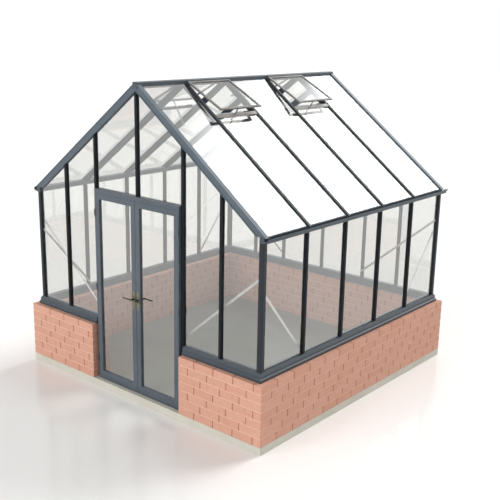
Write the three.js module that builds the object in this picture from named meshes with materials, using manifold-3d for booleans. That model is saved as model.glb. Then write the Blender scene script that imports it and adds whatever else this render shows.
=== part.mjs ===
// Walk-in gable greenhouse: powder-coated aluminium glazing frame on a brick dwarf wall and a slab.
// Millimetres. +Z is up, the door gable faces -Y, and the origin is the middle of the slab's underside.
import * as THREE from "three";
import { mergeVertices } from "three/addons/utils/BufferGeometryUtils.js";
import Module from "manifold-3d";

const wasm = await Module();
wasm.setup();

// ---- Driving dimensions ----------------------------------------------------------------------

// Plan: bays are measured between glazing bar centres. The last one each way ends at a corner line.
const SIDE_BAY = 620;
const SIDE_BAYS = 5;
const DOOR_BAY = 612; // middle of the gable to a door jamb post
const NARROW_BAY = 478; // the two bays between a jamb post and the corner line
const FACE_OUT = 17; // outer faces of the frame beyond the corner lines
const WALL_PROJECTION = 73; // the brick face stands this far outside the frame

// Heights
const SLAB_T = 76;
const WALL_H = 590;
const SILL_H = 83;
const SIDE_GLASS_H = 1184; // sill top to the underside of the eaves beam
const EAVES_H = 50;
const ROOF_REACH = 24; // the roof surface comes down to the beam's top this far outside the frame
const ROOF_PITCH = THREE.MathUtils.degToRad(36.85);

// Masonry
const WALL_T = 215;
const WALL_DOOR_JOINT = 3; // pointing between a jamb post and the brick pier beside it

// Aluminium sections. Depths run inwards from the outer face.
const POST = 48;
const POST_CHAMFER = 16;
const BAR_W = 30;
const BAR_D = 46;
const BAR_CAP_D = 26;
const BAR_LEG_W = 20;
const BAR_CHAMFER = 3;
const GABLE_RAFTER_DEPTH = 68; // square to the slope
const GABLE_RAFTER_T = 46;
const BARGE_FLANGE = 9;
const BARGE_RECESS = 4;
const RAFTER_DEPTH = 64;
const RAFTER_CAP_DEPTH = 20;
const RIDGE_HALF_W = 33;
const RIDGE_H = 62;
const RIDGE_CHAMFER = 8;
const SILL_TOE = 22; // how far the sill's foot stands outside the frame
const SILL_TOE_H = 26;
const SILL_STEP = 12;
const SILL_STEP_H = 60;
const SILL_BACK = 64;
const GUTTER_OUT = 52;
const GUTTER_WALL = 6;
const GUTTER_FLOOR = 18; // channel floor above the beam's underside
const GUTTER_LIP_H = 44; // lip top above the beam's underside

// Glass
const GLASS_T = 4;
const WALL_GLASS_DEPTH = 20; // outer face of a bar to the glass
const ROOF_GLASS_DEPTH = 12; // top of a roof bar to the glass
const GLASS_SEAT = 6; // solid length left at the end of a slotted bar
const GLASS_BITE = 8; // how far a pane enters the groove of its frame

// Doors
const FRAME_FRONT = 26; // the door frame's face stands this far in front of the gable
const FRAME_JAMB_W = 6;
const FRAME_HEAD_H = 39;
const THRESHOLD_H = 18;
const LEAF_TOP = 1992; // above the slab
const LEAF_T = 39;
const LEAF_PLAY = 2;
const STILE_W = 58;
const TOP_RAIL_H = 60;
const BOTTOM_RAIL_H = 70;
const DOOR_GLASS_DEPTH = 17;

// Lever handles
const HANDLE_Z = 1001; // spindle above the slab
const SPINDLE_R = 5;
const SPINDLE_PLAY = 1;
const HUB_R = 10;
const HUB_L = 44;
const HUB_PLAY = 4; // room for the back plate
const LEVER_L = 118;
const LEVER_W = 11;
const LEVER_T = 8;

// Roof vents, two on each slope, in the bays with these numbers counted from the door gable
const VENT_BAYS = [2, 4];
const VENT_SIDE_PLAY = 8;
const VENT_RIDGE_PLAY = 8; // hinge line clear of the ridge beam
const VENT_LENGTH = 502;
const VENT_RAIL_W = 24;
const VENT_T = 16;
const VENT_LIFT = 1; // closed vent above the roof bars
const VENT_GLASS_DEPTH = 7;
const VENT_OPEN = THREE.MathUtils.degToRad(8.7);
const STAY_L = 300;
const STAY_W = 16;
const STAY_T = 5;
const STAY_PIN_R = 5;
const STAY_RAIL_GAP = 6;
const STAY_DROP = 4; // pivot below the vent's underside

// Clearances
const GAP = 0.3;

// ---- Derived places --------------------------------------------------------------------------

const HALF_W = DOOR_BAY + 2 * NARROW_BAY + FACE_OUT;
const HALF_L = (SIDE_BAY * SIDE_BAYS) / 2 + FACE_OUT;
const WALL_BASE = SLAB_T + GAP;
const WALL_TOP = WALL_BASE + WALL_H;
const SILL_BASE = WALL_TOP + GAP;
const SILL_TOP = SILL_BASE + SILL_H;
const EAVES_BASE = SILL_TOP + SIDE_GLASS_H;
const EAVES_TOP = EAVES_BASE + EAVES_H;
const RIDGE_TOP = EAVES_TOP + (HALF_W + ROOF_REACH) * Math.tan(ROOF_PITCH);
const RIDGE_BASE = RIDGE_TOP - RIDGE_H;
const RAFTER_FOOT = EAVES_TOP + GAP;
const JAMB_OUTER = DOOR_BAY + BAR_W / 2;
const HEAD_BASE = SLAB_T + LEAF_TOP + LEAF_PLAY;
const HEAD_TOP = HEAD_BASE + FRAME_HEAD_H;
const FRAME_FACE_Y = -HALF_L - FRAME_FRONT;
const FRAME_HALF_W = DOOR_BAY - BAR_W / 2 - GAP;
const BAR_BASE = SILL_TOP + GAP;
const BAR_TOP = EAVES_BASE - GAP;
const ROOF_SLOT_START = RIDGE_HALF_W + GAP + GLASS_SEAT;
const X_AXIS = new THREE.Vector3(1, 0, 0);
const Y_AXIS = new THREE.Vector3(0, 1, 0);
const Z_AXIS = new THREE.Vector3(0, 0, 1);

// ---- Materials -------------------------------------------------------------------------------

function finish(colour, roughness, metalness) {
  return () => new THREE.MeshStandardMaterial({ color: colour, roughness, metalness });
}

const concrete = finish(0xc9cec9, 0.85, 0);
const brick = finish(0xd79a80, 0.9, 0);
const anthracite = finish(0x3a4249, 0.45, 0.3);
const doorPaint = finish(0x56626d, 0.42, 0.3);
const ventMetal = finish(0x77746c, 0.4, 0.6);
const brass = finish(0x4f4a35, 0.35, 0.9);
const steel = finish(0x8b8e90, 0.35, 0.9);

function glass() {
  return new THREE.MeshStandardMaterial({
    color: 0xd5dad8,
    roughness: 0.05,
    transparent: true,
    opacity: 0.35,
  });
}

/** Y place of bay line number k: the lines between side bays, counted from the door gable. */
function bayLine(k) {
  return (k - SIDE_BAYS / 2) * SIDE_BAY;
}

// ---- Solids ----------------------------------------------------------------------------------

/** The closed three.js geometry as a solid that can be joined and cut. */
function solid(geometry) {
  const bare = geometry.index ? geometry.toNonIndexed() : geometry.clone();
  bare.deleteAttribute("normal");
  bare.deleteAttribute("uv");
  const merged = mergeVertices(bare, 1e-4);
  return new wasm.Manifold(
    new wasm.Mesh({
      numProp: 3,
      vertProperties: new Float32Array(merged.attributes.position.array),
      triVerts: new Uint32Array(merged.index.array),
    }),
  );
}

/** The solid's surface as a flat-shaded three.js geometry. */
function surfaceOf(body) {
  const mesh = body.getMesh();
  const geometry = new THREE.BufferGeometry();
  geometry.setAttribute("position", new THREE.BufferAttribute(mesh.vertProperties, 3));
  geometry.setIndex(new THREE.BufferAttribute(mesh.triVerts, 1));
  const flat = geometry.toNonIndexed();
  flat.computeVertexNormals();
  return flat;
}

/** A box from its two corners. */
function block(low, high) {
  const size = high.map((value, i) => value - low[i]);
  const geometry = new THREE.BoxGeometry(...size);
  geometry.translate(...high.map((value, i) => (value + low[i]) / 2));
  return solid(geometry);
}

/** An outline of [across, up] points, extruded along across x up from the given origin. */
function extrusion(outline, length, origin, across, up) {
  const shape = new THREE.Shape(outline.map(([a, b]) => new THREE.Vector2(a, b)));
  const geometry = new THREE.ExtrudeGeometry(shape, { depth: length, bevelEnabled: false, steps: 1 });
  const along = new THREE.Vector3().crossVectors(across, up);
  const frame = new THREE.Matrix4().makeBasis(across, up, along).setPosition(...origin);
  return solid(geometry.applyMatrix4(frame));
}

/** An outline of [x, z] points, extruded along Y from yLow to yHigh. */
function acrossGable(outline, yLow, yHigh) {
  return extrusion(outline, yHigh - yLow, [0, yHigh, 0], X_AXIS, Z_AXIS);
}

/** A round bar along Y from yLow to yHigh. */
function roundAlongY(radius, yLow, yHigh, x, z) {
  const geometry = new THREE.CylinderGeometry(radius, radius, yHigh - yLow, 24);
  geometry.translate(x, (yLow + yHigh) / 2, z);
  return solid(geometry);
}

// ---- Roof geometry ---------------------------------------------------------------------------

/** Height of the plane that lies depth under the roof surface, square to it, at distance x. */
function roofZ(x, depth = 0) {
  return RIDGE_TOP - x * Math.tan(ROOF_PITCH) - depth / Math.cos(ROOF_PITCH);
}

/** Distance from the middle at which that plane is at height z. */
function roofX(z, depth = 0) {
  return (roofZ(0, depth) - z) / Math.tan(ROOF_PITCH);
}

/** Chevron of a rafter pair: both slopes from start to depth under the roof, cut level at the eaves. */
function chevron(depth, start = 0) {
  return [
    [0, roofZ(0, start)],
    [-roofX(RAFTER_FOOT, start), RAFTER_FOOT],
    [-roofX(RAFTER_FOOT, depth), RAFTER_FOOT],
    [0, roofZ(0, depth)],
    [roofX(RAFTER_FOOT, depth), RAFTER_FOOT],
    [roofX(RAFTER_FOOT, start), RAFTER_FOOT],
  ];
}

/** Room for the ridge beam through a rafter pair. */
function ridgeNotch() {
  const x = RIDGE_HALF_W + GAP;
  return block([-x, -HALF_L, RIDGE_BASE - GAP], [x, HALF_L, RIDGE_TOP + RIDGE_H]);
}

/** Band of the roof glass on one slope (side is 1 or -1), grown by play, from xLow to xHigh. */
function roofBand(side, play, xLow, xHigh, yLow, yHigh) {
  const top = ROOF_GLASS_DEPTH - play;
  const bottom = ROOF_GLASS_DEPTH + GLASS_T + play;
  const outline = [
    [side * xLow, roofZ(xLow, top)],
    [side * xLow, roofZ(xLow, bottom)],
    [side * xHigh, roofZ(xHigh, bottom)],
    [side * xHigh, roofZ(xHigh, top)],
  ];
  return acrossGable(side > 0 ? outline : outline.reverse(), yLow, yHigh);
}

// ---- Base ------------------------------------------------------------------------------------

function slab() {
  const x = HALF_W + WALL_PROJECTION;
  const y = HALF_L + WALL_PROJECTION;
  return block([-x, -y, 0], [x, y, SLAB_T]);
}

/** Dwarf wall: one bonded ring with a gap for the doorway. */
function brickWall() {
  const x = HALF_W + WALL_PROJECTION;
  const y = HALF_L + WALL_PROJECTION;
  const doorX = JAMB_OUTER + WALL_DOOR_JOINT;
  const room = block([WALL_T - x, WALL_T - y, 0], [x - WALL_T, y - WALL_T, EAVES_TOP]);
  const doorway = block([-doorX, -y - WALL_T, 0], [doorX, 0, EAVES_TOP]);
  return block([-x, -y, WALL_BASE], [x, y, WALL_TOP]).subtract(room).subtract(doorway);
}

/** Outline across the whole house at the sill, from one stepped outer face to the other. */
function sillOutline(half) {
  const right = [
    [half + SILL_TOE, SILL_BASE],
    [half + SILL_TOE, SILL_BASE + SILL_TOE_H],
    [half + SILL_STEP, SILL_BASE + SILL_TOE_H + SILL_TOE - SILL_STEP],
    [half + SILL_STEP, SILL_BASE + SILL_STEP_H],
    [half, SILL_TOP],
  ];
  return right.concat(right.map(([u, z]) => [-u, z]).reverse());
}

/** Sill on the wall: the two stepped outlines meet at mitred corners, open at the doorway. */
function sillFrame() {
  const farX = HALF_W + WALL_PROJECTION;
  const farY = HALF_L + WALL_PROJECTION;
  const along = acrossGable(sillOutline(HALF_W), -farY, farY);
  const across = extrusion(sillOutline(HALF_L), 2 * farX, [-farX, 0, 0], Y_AXIS, Z_AXIS);
  const inX = HALF_W - SILL_BACK;
  const inY = HALF_L - SILL_BACK;
  const doorX = JAMB_OUTER + GAP;
  return along
    .intersect(across)
    .subtract(block([-inX, -inY, 0], [inX, inY, EAVES_TOP]))
    .subtract(block([-doorX, -farY, 0], [doorX, 0, EAVES_TOP]));
}

// ---- Walls -----------------------------------------------------------------------------------

/** Square corner post with its outer corner cut off; sideX and sideY say which corner it stands on. */
function cornerPost(sideX, sideY) {
  const outline = [
    [-POST_CHAMFER, 0],
    [-POST, 0],
    [-POST, -POST],
    [0, -POST],
    [0, -POST_CHAMFER],
  ];
  const placed = outline.map(([x, y]) => [sideX * (HALF_W + x), sideY * (HALF_L + y)]);
  return extrusion(placed, BAR_TOP - BAR_BASE, [0, 0, BAR_BASE], X_AXIS, Y_AXIS);
}

/** Section of an upright glazing bar: a capped nose outside, a narrower leg inside. */
const BAR_SECTION = [
  [BAR_CHAMFER - BAR_W / 2, 0],
  [-BAR_W / 2, -BAR_CHAMFER],
  [-BAR_W / 2, -BAR_CAP_D],
  [-BAR_LEG_W / 2, -BAR_CAP_D],
  [-BAR_LEG_W / 2, -BAR_D],
  [BAR_LEG_W / 2, -BAR_D],
  [BAR_LEG_W / 2, -BAR_CAP_D],
  [BAR_W / 2, -BAR_CAP_D],
  [BAR_W / 2, -BAR_CHAMFER],
  [BAR_W / 2 - BAR_CHAMFER, 0],
];

/** Upright bar with its outer face through the given plan point. */
function uprightBar(x, y, outward, zLow, zHigh) {
  const across = new THREE.Vector3().crossVectors(outward, Z_AXIS);
  return extrusion(BAR_SECTION, zHigh - zLow, [x, y, zLow], across, outward);
}

/** Slab of space that wall glass takes, grown by play, between two heights on a side wall. */
function sideGlass(side, play, zLow, zHigh, halfLength) {
  const outer = HALF_W - WALL_GLASS_DEPTH + play;
  const inner = outer - GLASS_T - 2 * play;
  const [low, high] = side > 0 ? [inner, outer] : [-outer, -inner];
  return block([low, -halfLength, zLow], [high, halfLength, zHigh]);
}

/** Side bar number k, counted from the door gable, slotted for the glass that runs through it. */
function sideBar(side, k) {
  const outward = X_AXIS.clone().multiplyScalar(side);
  const bar = uprightBar(side * HALF_W, bayLine(k), outward, BAR_BASE, BAR_TOP);
  const slot = sideGlass(side, GAP, BAR_BASE + GLASS_SEAT, BAR_TOP - GLASS_SEAT, HALF_L);
  return bar.subtract(slot);
}

function sideGlazing(side) {
  const seat = GLASS_SEAT + GAP;
  return sideGlass(side, 0, BAR_BASE + seat, BAR_TOP - seat, HALF_L - POST - GAP);
}

/** Outline of a gable's glass from corner post to corner post, with seats at its edges. */
function gableOutline(seat, halfWidth, base) {
  const eavesX = HALF_W - POST - GAP;
  const x = Math.min(halfWidth, eavesX);
  const top = (u) => roofZ(u, GABLE_RAFTER_DEPTH) - GAP - seat;
  const flat = BAR_TOP - seat;
  const kneeX = roofX(flat + GAP + seat, GABLE_RAFTER_DEPTH);
  const right = x > kneeX ? [[x, base], [x, flat], [kneeX, flat]] : [[x, base], [x, top(x)]];
  return right.concat([[0, top(0)]], right.map(([u, z]) => [-u, z]).reverse());
}

/** Space of a gable's glass, grown by play. end is -1 for the door gable and 1 for the back. */
function gableGlass(end, play, outline) {
  const outer = HALF_L - WALL_GLASS_DEPTH + play;
  const inner = outer - GLASS_T - 2 * play;
  return end > 0 ? acrossGable(outline, inner, outer) : acrossGable(outline, -outer, -inner);
}

/** Gable upright at x, cut to the slope above it and slotted for the glass. */
function gableUpright(end, x, base) {
  const outward = Y_AXIS.clone().multiplyScalar(end);
  const bar = uprightBar(x, end * HALF_L, outward, base, RIDGE_TOP);
  const under = acrossGable(
    [
      [-HALF_W, 0],
      [HALF_W, 0],
      [HALF_W, roofZ(HALF_W, GABLE_RAFTER_DEPTH) - GAP],
      [0, roofZ(0, GABLE_RAFTER_DEPTH) - GAP],
      [-HALF_W, roofZ(HALF_W, GABLE_RAFTER_DEPTH) - GAP],
    ],
    -HALF_L - POST,
    HALF_L + POST,
  );
  const slotBase = Math.max(base, BAR_BASE) + GLASS_SEAT;
  const outline = gableOutline(GLASS_SEAT, Math.abs(x) + BAR_W, slotBase);
  return bar.intersect(under).subtract(gableGlass(end, GAP, outline));
}

/** Gable glass in one sheet; the door gable's is cut out round the doorway. */
function gableGlazing(end) {
  const seat = GLASS_SEAT + GAP;
  const sheet = gableGlass(end, 0, gableOutline(seat, HALF_W, BAR_BASE + seat));
  if (end > 0) {
    return sheet;
  }
  const doorway = block(
    [-DOOR_BAY - GLASS_BITE, -2 * HALF_L, 0],
    [DOOR_BAY + GLASS_BITE, 0, HEAD_TOP + GAP + seat],
  );
  return sheet.subtract(doorway);
}

// ---- Roof ------------------------------------------------------------------------------------

/** Eaves beam with its gutter channel, along one side. */
function eavesBeam(side) {
  const z = EAVES_BASE;
  const lip = GUTTER_OUT - GUTTER_WALL;
  const outline = [
    [HALF_W - POST, z],
    [HALF_W, z],
    [HALF_W + GUTTER_OUT, z + GUTTER_FLOOR - GUTTER_WALL],
    [HALF_W + GUTTER_OUT, z + GUTTER_LIP_H],
    [HALF_W + lip, z + GUTTER_LIP_H],
    [HALF_W + lip, z + GUTTER_FLOOR],
    [HALF_W + GUTTER_WALL, z + GUTTER_FLOOR],
    [HALF_W + GUTTER_WALL, EAVES_TOP],
    [HALF_W - POST, EAVES_TOP],
  ];
  const placed = side > 0 ? outline : outline.map(([x, up]) => [-x, up]).reverse();
  return acrossGable(placed, -HALF_L, HALF_L);
}

function ridgeBeam() {
  const x = RIDGE_HALF_W;
  const outline = [
    [-x, RIDGE_BASE],
    [x, RIDGE_BASE],
    [x, RIDGE_TOP - RIDGE_CHAMFER],
    [x - RIDGE_CHAMFER, RIDGE_TOP],
    [RIDGE_CHAMFER - x, RIDGE_TOP],
    [-x, RIDGE_TOP - RIDGE_CHAMFER],
  ];
  return acrossGable(outline, -HALF_L, HALF_L);
}

/** An outline extruded inwards from a gable's outer face, between two depths behind it. */
function behindGable(end, outline, near, far) {
  const faces = [end * (HALF_L - near), end * (HALF_L - far)].sort((a, b) => a - b);
  return acrossGable(outline, ...faces);
}

/** Barge rafter pair at one gable, its face sunk between two flanges, joined under the ridge beam. */
function gableRafters(end) {
  const whole = behindGable(end, chevron(GABLE_RAFTER_DEPTH), 0, GABLE_RAFTER_T);
  const sunk = chevron(GABLE_RAFTER_DEPTH - BARGE_FLANGE, BARGE_FLANGE);
  return whole.subtract(behindGable(end, sunk, -GAP, BARGE_RECESS)).subtract(ridgeNotch());
}

/** Inner rafter pair number k: a cap above the glass on a narrower leg, joined under the ridge. */
function innerRafters(k) {
  const y = bayLine(k);
  const cap = acrossGable(chevron(RAFTER_CAP_DEPTH), y - BAR_W / 2, y + BAR_W / 2);
  const leg = acrossGable(chevron(RAFTER_DEPTH), y - BAR_LEG_W / 2, y + BAR_LEG_W / 2);
  let pair = cap.add(leg).subtract(ridgeNotch());
  for (const side of [-1, 1]) {
    pair = pair.subtract(roofBand(side, GAP, ROOF_SLOT_START, 2 * HALF_W, y - BAR_W, y + BAR_W));
  }
  return pair;
}

/** Vent bay number n as the Y places of the rafters on either side of it. */
function ventBay(n) {
  return [bayLine(n - 1), bayLine(n)];
}

/** Distance down the slope, from the ridge's middle, to the vent hinge and to the vent's lower edge. */
const VENT_HINGE_S = (RIDGE_HALF_W + VENT_RIDGE_PLAY) / Math.cos(ROOF_PITCH);
const VENT_SILL_S = VENT_HINGE_S + VENT_LENGTH - VENT_RAIL_W;

/** Roof glass of one slope in one sheet, cut away under the vents. */
function roofGlazing(side) {
  const halfY = HALF_L - GABLE_RAFTER_T - GAP;
  const xLow = ROOF_SLOT_START + GAP;
  const xHigh = roofX(RAFTER_FOOT, ROOF_GLASS_DEPTH + GLASS_T) - GAP;
  let sheet = roofBand(side, 0, xLow, xHigh, -halfY, halfY);
  for (const n of VENT_BAYS) {
    const [yLow, yHigh] = ventBay(n);
    const far = VENT_SILL_S * Math.cos(ROOF_PITCH);
    const [low, high] = side > 0 ? [0, far] : [-far, 0];
    sheet = sheet.subtract(
      block([low, yLow + GLASS_BITE, EAVES_BASE], [high, yHigh - GLASS_BITE, RIDGE_TOP]),
    );
  }
  return sheet;
}

// ---- Doors -----------------------------------------------------------------------------------

/** Door frame between the jamb posts: a head, two thin jambs and a threshold in one ring. */
function doorFrame() {
  const back = GABLE_RAFTER_T - HALF_L;
  const x = FRAME_HALF_W;
  const openX = x - FRAME_JAMB_W;
  const openLow = WALL_BASE + THRESHOLD_H;
  const ring = block([-x, FRAME_FACE_Y, WALL_BASE], [x, back, HEAD_TOP]);
  return ring.subtract(block([-openX, FRAME_FACE_Y - POST, openLow], [openX, 0, HEAD_BASE]));
}

const LEAF_BASE = WALL_BASE + THRESHOLD_H + LEAF_PLAY;
const LEAF_OUTER = FRAME_HALF_W - FRAME_JAMB_W - LEAF_PLAY;
const LEAF_INNER = LEAF_PLAY;
const LEAF_HEAD = SLAB_T + LEAF_TOP;
const LEAF_FACE_Y = FRAME_FACE_Y;
const SPINDLE_X = LEAF_INNER + STILE_W / 2;

/** A box on one leaf, given for the right-hand leaf and mirrored for the left. */
function leafBlock(side, low, high) {
  return side > 0 ? block(low, high) : block([-high[0], low[1], low[2]], [-low[0], high[1], high[2]]);
}

/** Space of a leaf's pane, grown by play on every side. */
function leafPane(side, play) {
  const y = LEAF_FACE_Y + DOOR_GLASS_DEPTH;
  const reach = GLASS_BITE + play;
  return leafBlock(
    side,
    [LEAF_INNER + STILE_W - reach, y - play, LEAF_BASE + BOTTOM_RAIL_H - reach],
    [LEAF_OUTER - STILE_W + reach, y + GLASS_T + play, LEAF_HEAD - TOP_RAIL_H + reach],
  );
}

/** Glazed leaf: stiles and rails round a captured pane, bored for the handle's spindle. */
function leafFrame(side) {
  const back = LEAF_FACE_Y + LEAF_T;
  const whole = leafBlock(side, [LEAF_INNER, LEAF_FACE_Y, LEAF_BASE], [LEAF_OUTER, back, LEAF_HEAD]);
  const light = leafBlock(
    side,
    [LEAF_INNER + STILE_W, LEAF_FACE_Y - POST, LEAF_BASE + BOTTOM_RAIL_H],
    [LEAF_OUTER - STILE_W, back + POST, LEAF_HEAD - TOP_RAIL_H],
  );
  const bore = roundAlongY(
    SPINDLE_R + SPINDLE_PLAY,
    LEAF_FACE_Y - POST,
    back + POST,
    side * SPINDLE_X,
    SLAB_T + HANDLE_Z,
  );
  return whole.subtract(light).subtract(leafPane(side, GAP)).subtract(bore);
}

/** Lever handle: one spindle with a hub and a lever on each face, pointing away from the meeting. */
function leverHandle(side) {
  const x = side * SPINDLE_X;
  const z = SLAB_T + HANDLE_Z;
  const front = LEAF_FACE_Y - HUB_PLAY;
  const back = LEAF_FACE_Y + LEAF_T + HUB_PLAY;
  const spindle = roundAlongY(SPINDLE_R, front - HUB_L, back + HUB_L, x, z);
  const frontHub = roundAlongY(HUB_R, front - HUB_L, front, x, z);
  const backHub = roundAlongY(HUB_R, back, back + HUB_L, x, z);
  const low = z - LEVER_W / 2;
  const grip = (y) => leafBlock(side, [SPINDLE_X, y, low], [SPINDLE_X + LEVER_L, y + LEVER_T, low + LEVER_W]);
  const grips = grip(front - HUB_L).add(grip(back + HUB_L - LEVER_T));
  return spindle.add(frontHub).add(backHub).add(grips);
}

// ---- Vents -----------------------------------------------------------------------------------

// A vent is drawn closed in its own axes: X down the slope from the hinge line, Z out of the roof,
// Y along the ridge from the middle of its bay. The hinge line is at the top edge beside the ridge.
const VENT_HALF_W = SIDE_BAY / 2 - VENT_SIDE_PLAY;

function ventFrame() {
  const rail = VENT_RAIL_W;
  const frame = block([0, -VENT_HALF_W, -VENT_T], [VENT_LENGTH, VENT_HALF_W, 0]);
  const light = block([rail, rail - VENT_HALF_W, -POST], [VENT_LENGTH - rail, VENT_HALF_W - rail, POST]);
  return frame.subtract(light).subtract(ventGlassSpace(GAP));
}

function ventGlassSpace(play) {
  const reach = VENT_RAIL_W - GLASS_BITE - play;
  const top = play - VENT_GLASS_DEPTH;
  return block(
    [reach, reach - VENT_HALF_W, top - GLASS_T - 2 * play],
    [VENT_LENGTH - reach, VENT_HALF_W - reach, top],
  );
}

// Place of the stay's pivot on the vent, just inside the lower rail
const STAY_PIVOT_X = VENT_LENGTH - VENT_RAIL_W - STAY_RAIL_GAP - STAY_PIN_R;
const STAY_PIVOT_Z = -VENT_T - STAY_DROP;

/** Stay: an eye at the pivot and a flat bar hanging from it, drawn about the pivot along -Z. */
function ventStay() {
  const eye = roundAlongY(STAY_PIN_R, -STAY_W / 2, STAY_W / 2, 0, 0);
  return eye.add(block([-STAY_T / 2, -STAY_W / 2, -STAY_L], [STAY_T / 2, STAY_W / 2, 0]));
}

// ---- Assembly --------------------------------------------------------------------------------

const greenhouse = new THREE.Group();

function part(name, body, material, parent = greenhouse) {
  const mesh = new THREE.Mesh(surfaceOf(body), material());
  mesh.name = name;
  parent.add(mesh);
}

/** Vent number n on one slope, turned to its open angle, with its stay hanging to the sill. */
function addVent(side, n, name) {
  const [yLow, yHigh] = ventBay(n);
  const lift = VENT_T + VENT_LIFT;
  const slope = new THREE.Group();
  slope.position.set(
    side * (VENT_HINGE_S * Math.cos(ROOF_PITCH) + lift * Math.sin(ROOF_PITCH)),
    (yLow + yHigh) / 2,
    RIDGE_TOP - VENT_HINGE_S * Math.sin(ROOF_PITCH) + lift * Math.cos(ROOF_PITCH),
  );
  slope.rotation.z = side > 0 ? 0 : Math.PI;
  const vent = new THREE.Group();
  vent.rotation.y = ROOF_PITCH - VENT_OPEN;
  const stay = new THREE.Group();
  stay.position.set(STAY_PIVOT_X, 0, STAY_PIVOT_Z);
  stay.rotation.y = VENT_OPEN / 2;
  slope.add(vent);
  vent.add(stay);
  greenhouse.add(slope);
  part(`vent_frame_${name}`, ventFrame(), ventMetal, vent);
  part(`vent_pane_${name}`, ventGlassSpace(0), glass, vent);
  part(`vent_stay_${name}`, ventStay(), steel, stay);
}

part("base_slab", slab(), concrete);
part("brick_wall", brickWall(), brick);
part("sill_frame", sillFrame(), anthracite);

for (const [sideX, across] of [[-1, "left"], [1, "right"]]) {
  for (const [sideY, end] of [[-1, "front"], [1, "back"]]) {
    part(`corner_post_${end}_${across}`, cornerPost(sideX, sideY), anthracite);
  }
  for (let k = 1; k < SIDE_BAYS; k += 1) {
    part(`side_bar_${across}_${k}`, sideBar(sideX, k), anthracite);
  }
  part(`eaves_beam_${across}`, eavesBeam(sideX), anthracite);
  part(`glazing_${across}_wall`, sideGlazing(sideX), glass);
  part(`glazing_${across}_roof`, roofGlazing(sideX), glass);
}

for (const [end, name] of [[-1, "front"], [1, "back"]]) {
  const postBase = end < 0 ? WALL_BASE : BAR_BASE;
  const middleBase = end < 0 ? HEAD_TOP + GAP : BAR_BASE;
  for (const [side, across] of [[-1, "left"], [1, "right"]]) {
    part(`${name}_bar_${across}`, gableUpright(end, side * (DOOR_BAY + NARROW_BAY), BAR_BASE), anthracite);
    part(`${name}_post_${across}`, gableUpright(end, side * DOOR_BAY, postBase), anthracite);
  }
  part(`${name}_mullion`, gableUpright(end, 0, middleBase), anthracite);
  part(`${name}_gable_rafters`, gableRafters(end), anthracite);
  part(`glazing_${name}_gable`, gableGlazing(end), glass);
}

part("ridge_beam", ridgeBeam(), anthracite);
for (let k = 1; k < SIDE_BAYS; k += 1) {
  part(`rafter_pair_${k}`, innerRafters(k), anthracite);
}

part("door_frame", doorFrame(), doorPaint);
for (const [side, name] of [[-1, "left"], [1, "right"]]) {
  part(`door_leaf_${name}`, leafFrame(side), doorPaint);
  part(`door_pane_${name}`, leafPane(side, 0), glass);
  part(`door_handle_${name}`, leverHandle(side), brass);
}

for (const [side, across] of [[-1, "left"], [1, "right"]]) {
  VENT_BAYS.forEach((n, i) => addVent(side, n, `${across}_${i + 1}`));
}

export default greenhouse;
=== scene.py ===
"""Walk-in aluminium greenhouse on a dwarf brick wall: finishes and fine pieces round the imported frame.

Lengths are metres in the frame's own axes: Z up, the door gable facing -Y, and the slab's underside
at Z = 0.
"""

import math

import bmesh
import bpy
import numpy as np
from mathutils import Matrix, Vector


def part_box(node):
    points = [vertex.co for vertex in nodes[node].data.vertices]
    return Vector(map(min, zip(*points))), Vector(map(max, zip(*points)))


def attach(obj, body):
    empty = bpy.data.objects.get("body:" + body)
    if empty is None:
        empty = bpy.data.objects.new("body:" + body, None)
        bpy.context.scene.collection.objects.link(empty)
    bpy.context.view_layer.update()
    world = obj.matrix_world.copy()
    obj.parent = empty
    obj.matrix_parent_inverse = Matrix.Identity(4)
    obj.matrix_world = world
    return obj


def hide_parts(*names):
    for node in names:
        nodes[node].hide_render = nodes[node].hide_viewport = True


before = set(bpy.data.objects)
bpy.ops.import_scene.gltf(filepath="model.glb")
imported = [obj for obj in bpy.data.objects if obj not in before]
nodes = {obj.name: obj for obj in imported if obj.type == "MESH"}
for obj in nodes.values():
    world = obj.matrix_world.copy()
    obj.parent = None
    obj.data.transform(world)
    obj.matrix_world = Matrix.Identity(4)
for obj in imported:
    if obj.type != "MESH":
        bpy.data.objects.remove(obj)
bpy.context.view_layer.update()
rng = np.random.default_rng(7)


# ---- Sizes read from the frame ----------------------------------------------------------------


def low_high(node):
    """Lowest and highest corner of a frame part, as arrays."""
    return tuple(np.array(corner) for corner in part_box(node))


WALL_LOW, WALL_HIGH = low_high("brick_wall")
BAR_LOW, BAR_HIGH = low_high("side_bar_right_1")
LEAF_LOW, LEAF_HIGH = low_high("door_leaf_right")
JAMB_LOW, JAMB_HIGH = low_high("front_post_right")
HANDLE_LOW, HANDLE_HIGH = low_high("door_handle_right")
EAVES_LOW, EAVES_HIGH = low_high("eaves_beam_right")
SLAB_TOP = low_high("base_slab")[1][2]
GABLE_RAFTER_BACK = low_high("front_gable_rafters")[1][1]
SIDE_GLASS_FACE, SIDE_GLASS_END = low_high("glazing_right_wall")[1][:2]
HALF_L, RIDGE_TOP = low_high("ridge_beam")[1][1:]

SIDE_BARS = 4  # between the corner posts of a long side
HALF_W = BAR_HIGH[0]
PITCH = math.radians(36.85)
side_bars = [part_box(f"side_bar_right_{k}") for k in range(1, SIDE_BARS + 1)]
BAY_LINES = [np.mean([corner[1] for corner in bar]) for bar in side_bars]
BAR_W = BAR_HIGH[1] - BAR_LOW[1]
DOOR_POST_X = (JAMB_LOW[0] + JAMB_HIGH[0]) / 2

CLEARANCE = 0.0005  # between pieces that nearly touch
SMALL_CUT = 0.001  # chamfer of small pieces

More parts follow.
